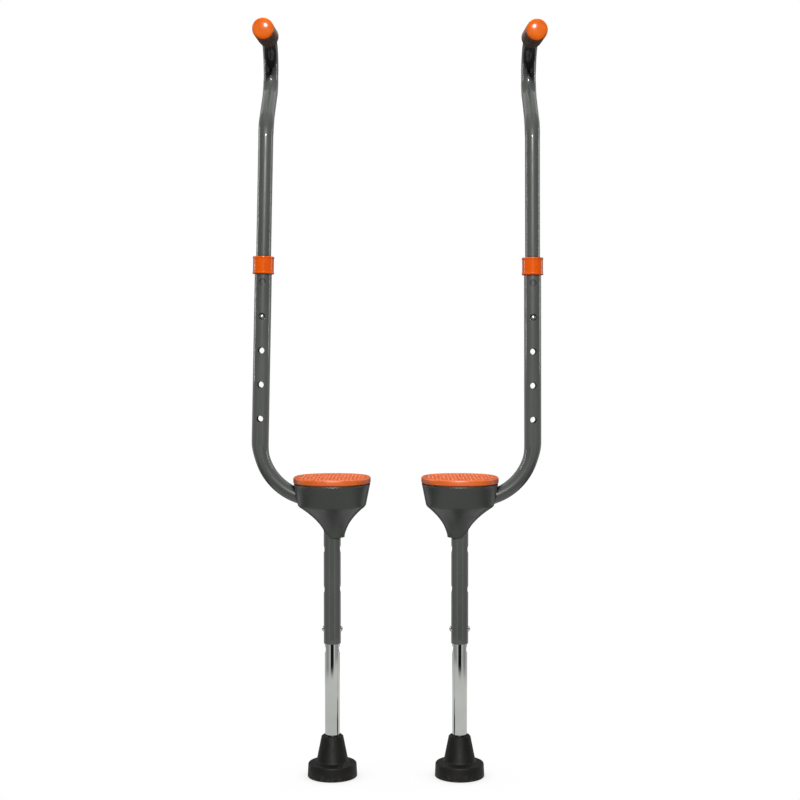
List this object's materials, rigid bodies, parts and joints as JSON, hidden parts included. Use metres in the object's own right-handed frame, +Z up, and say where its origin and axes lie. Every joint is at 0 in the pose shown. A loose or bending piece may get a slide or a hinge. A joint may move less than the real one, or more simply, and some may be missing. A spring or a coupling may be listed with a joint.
{
  "type": "walking stilts",
  "caption": "Pair of hand-held walking stilts with telescoping handles, oval foot rests and telescoping legs on rubber feet.",
  "frame": {"origin": "on the ground, midway between the two stilts and midway between the front and back of the pair", "axes": "+X from the left stilt to the right stilt as seen from the front, +Y towards the walker's back (the grips point to -Y), +Z up"},
  "size_m": [0.4351, 0.1507, 1.1214],
  "materials": {
    "grey_paint": "gloss charcoal-grey powder coat",
    "chrome": "bright chrome plate",
    "orange_plastic": "glossy moulded orange",
    "pad_orange": "satin orange with a raised tread",
    "housing_grey": "satin dark-grey moulding",
    "grip_rubber": "matt dark-grey ribbed rubber",
    "foot_rubber": "matt black rubber",
    "plain_steel": "plain steel, hidden"
  },
  "bodies": {
    "left_frame": {"left_leg_sleeve": "grey_paint", "left_foot_pad": "pad_orange", "left_support_plate": "plain_steel", "left_plate_screws": "plain_steel", "left_housing": "housing_grey", "left_pole_tube": "grey_paint", "left_collar": "orange_plastic"},
    "left_handle": {"left_handle_tube": "grey_paint", "left_grip": "grip_rubber", "left_grip_cap": "orange_plastic", "left_handle_spring": "plain_steel"},
    "left_leg": {"left_rubber_foot": "foot_rubber", "left_foot_washer": "plain_steel", "left_leg_tube": "chrome", "left_leg_spring": "plain_steel"},
    "left_handle_snap": {"left_handle_button": "chrome"},
    "left_leg_snap_outer": {"left_leg_button_outer": "chrome"},
    "left_leg_snap_inner": {"left_leg_button_inner": "chrome"},
    "right_frame": {"right_leg_sleeve": "grey_paint", "right_foot_pad": "pad_orange", "right_support_plate": "plain_steel", "right_plate_screws": "plain_steel", "right_housing": "housing_grey", "right_pole_tube": "grey_paint", "right_collar": "orange_plastic"},
    "right_handle": {"right_handle_tube": "grey_paint", "right_grip": "grip_rubber", "right_grip_cap": "orange_plastic", "right_handle_spring": "plain_steel"},
    "right_leg": {"right_rubber_foot": "foot_rubber", "right_foot_washer": "plain_steel", "right_leg_tube": "chrome", "right_leg_spring": "plain_steel"},
    "right_handle_snap": {"right_handle_button": "chrome"},
    "right_leg_snap_outer": {"right_leg_button_outer": "chrome"},
    "right_leg_snap_inner": {"right_leg_button_inner": "chrome"}
  },
  "joints": [
    {"name": "left_handle_slide", "type": "slide", "parent": "left_frame", "child": "left_handle", "axis": [0.0209, 0, 0.9998], "range_m": [-0.1524, 0.0508], "deforming": ["left_handle_spring", "left_handle_button"]},
    {"name": "left_handle_button_press", "type": "slide", "parent": "left_handle", "child": "left_handle_snap", "axis": [0, 1, 0], "range_m": [0, 0.0025], "stiffness_N_per_m": 2500, "deforming": ["left_handle_spring"]},
    {"name": "left_leg_slide", "type": "slide", "parent": "left_frame", "child": "left_leg", "axis": [0, 0, 1], "range_m": [0, 0.12], "deforming": ["left_leg_spring", "left_leg_button_outer", "left_leg_button_inner"]},
    {"name": "left_leg_button_outer_press", "type": "slide", "parent": "left_leg", "child": "left_leg_snap_outer", "axis": [1, 0, 0], "range_m": [0, 0.0047], "stiffness_N_per_m": 2500, "deforming": ["left_leg_spring"]},
    {"name": "left_leg_button_inner_press", "type": "slide", "parent": "left_leg", "child": "left_leg_snap_inner", "axis": [-1, 0, 0], "range_m": [0, 0.0047], "stiffness_N_per_m": 2500, "deforming": ["left_leg_spring"]},
    {"name": "right_handle_slide", "type": "slide", "parent": "right_frame", "child": "right_handle", "axis": [-0.0035, 0, 1], "range_m": [-0.1524, 0.0508], "deforming": ["right_handle_spring", "right_handle_button"]},
    {"name": "right_handle_button_press", "type": "slide", "parent": "right_handle", "child": "right_handle_snap", "axis": [0, 1, 0], "range_m": [0, 0.0025], "stiffness_N_per_m": 2500, "deforming": ["right_handle_spring"]},
    {"name": "right_leg_slide", "type": "slide", "parent": "right_frame", "child": "right_leg", "axis": [0, 0, 1], "range_m": [0, 0.12], "deforming": ["right_leg_spring", "right_leg_button_outer", "right_leg_button_inner"]},
    {"name": "right_leg_button_outer_press", "type": "slide", "parent": "right_leg", "child": "right_leg_snap_outer", "axis": [-1, 0, 0], "range_m": [0, 0.0047], "stiffness_N_per_m": 2500, "deforming": ["right_leg_spring"]},
    {"name": "right_leg_button_inner_press", "type": "slide", "parent": "right_leg", "child": "right_leg_snap_inner", "axis": [1, 0, 0], "range_m": [0, 0.0047], "stiffness_N_per_m": 2500, "deforming": ["right_leg_spring"]},
    {"name": "right_stilt_lift", "type": "slide", "parent": "left_frame", "child": "right_frame", "axis": [0, 0, 1], "range_m": [0, 0.2]}
  ]
}
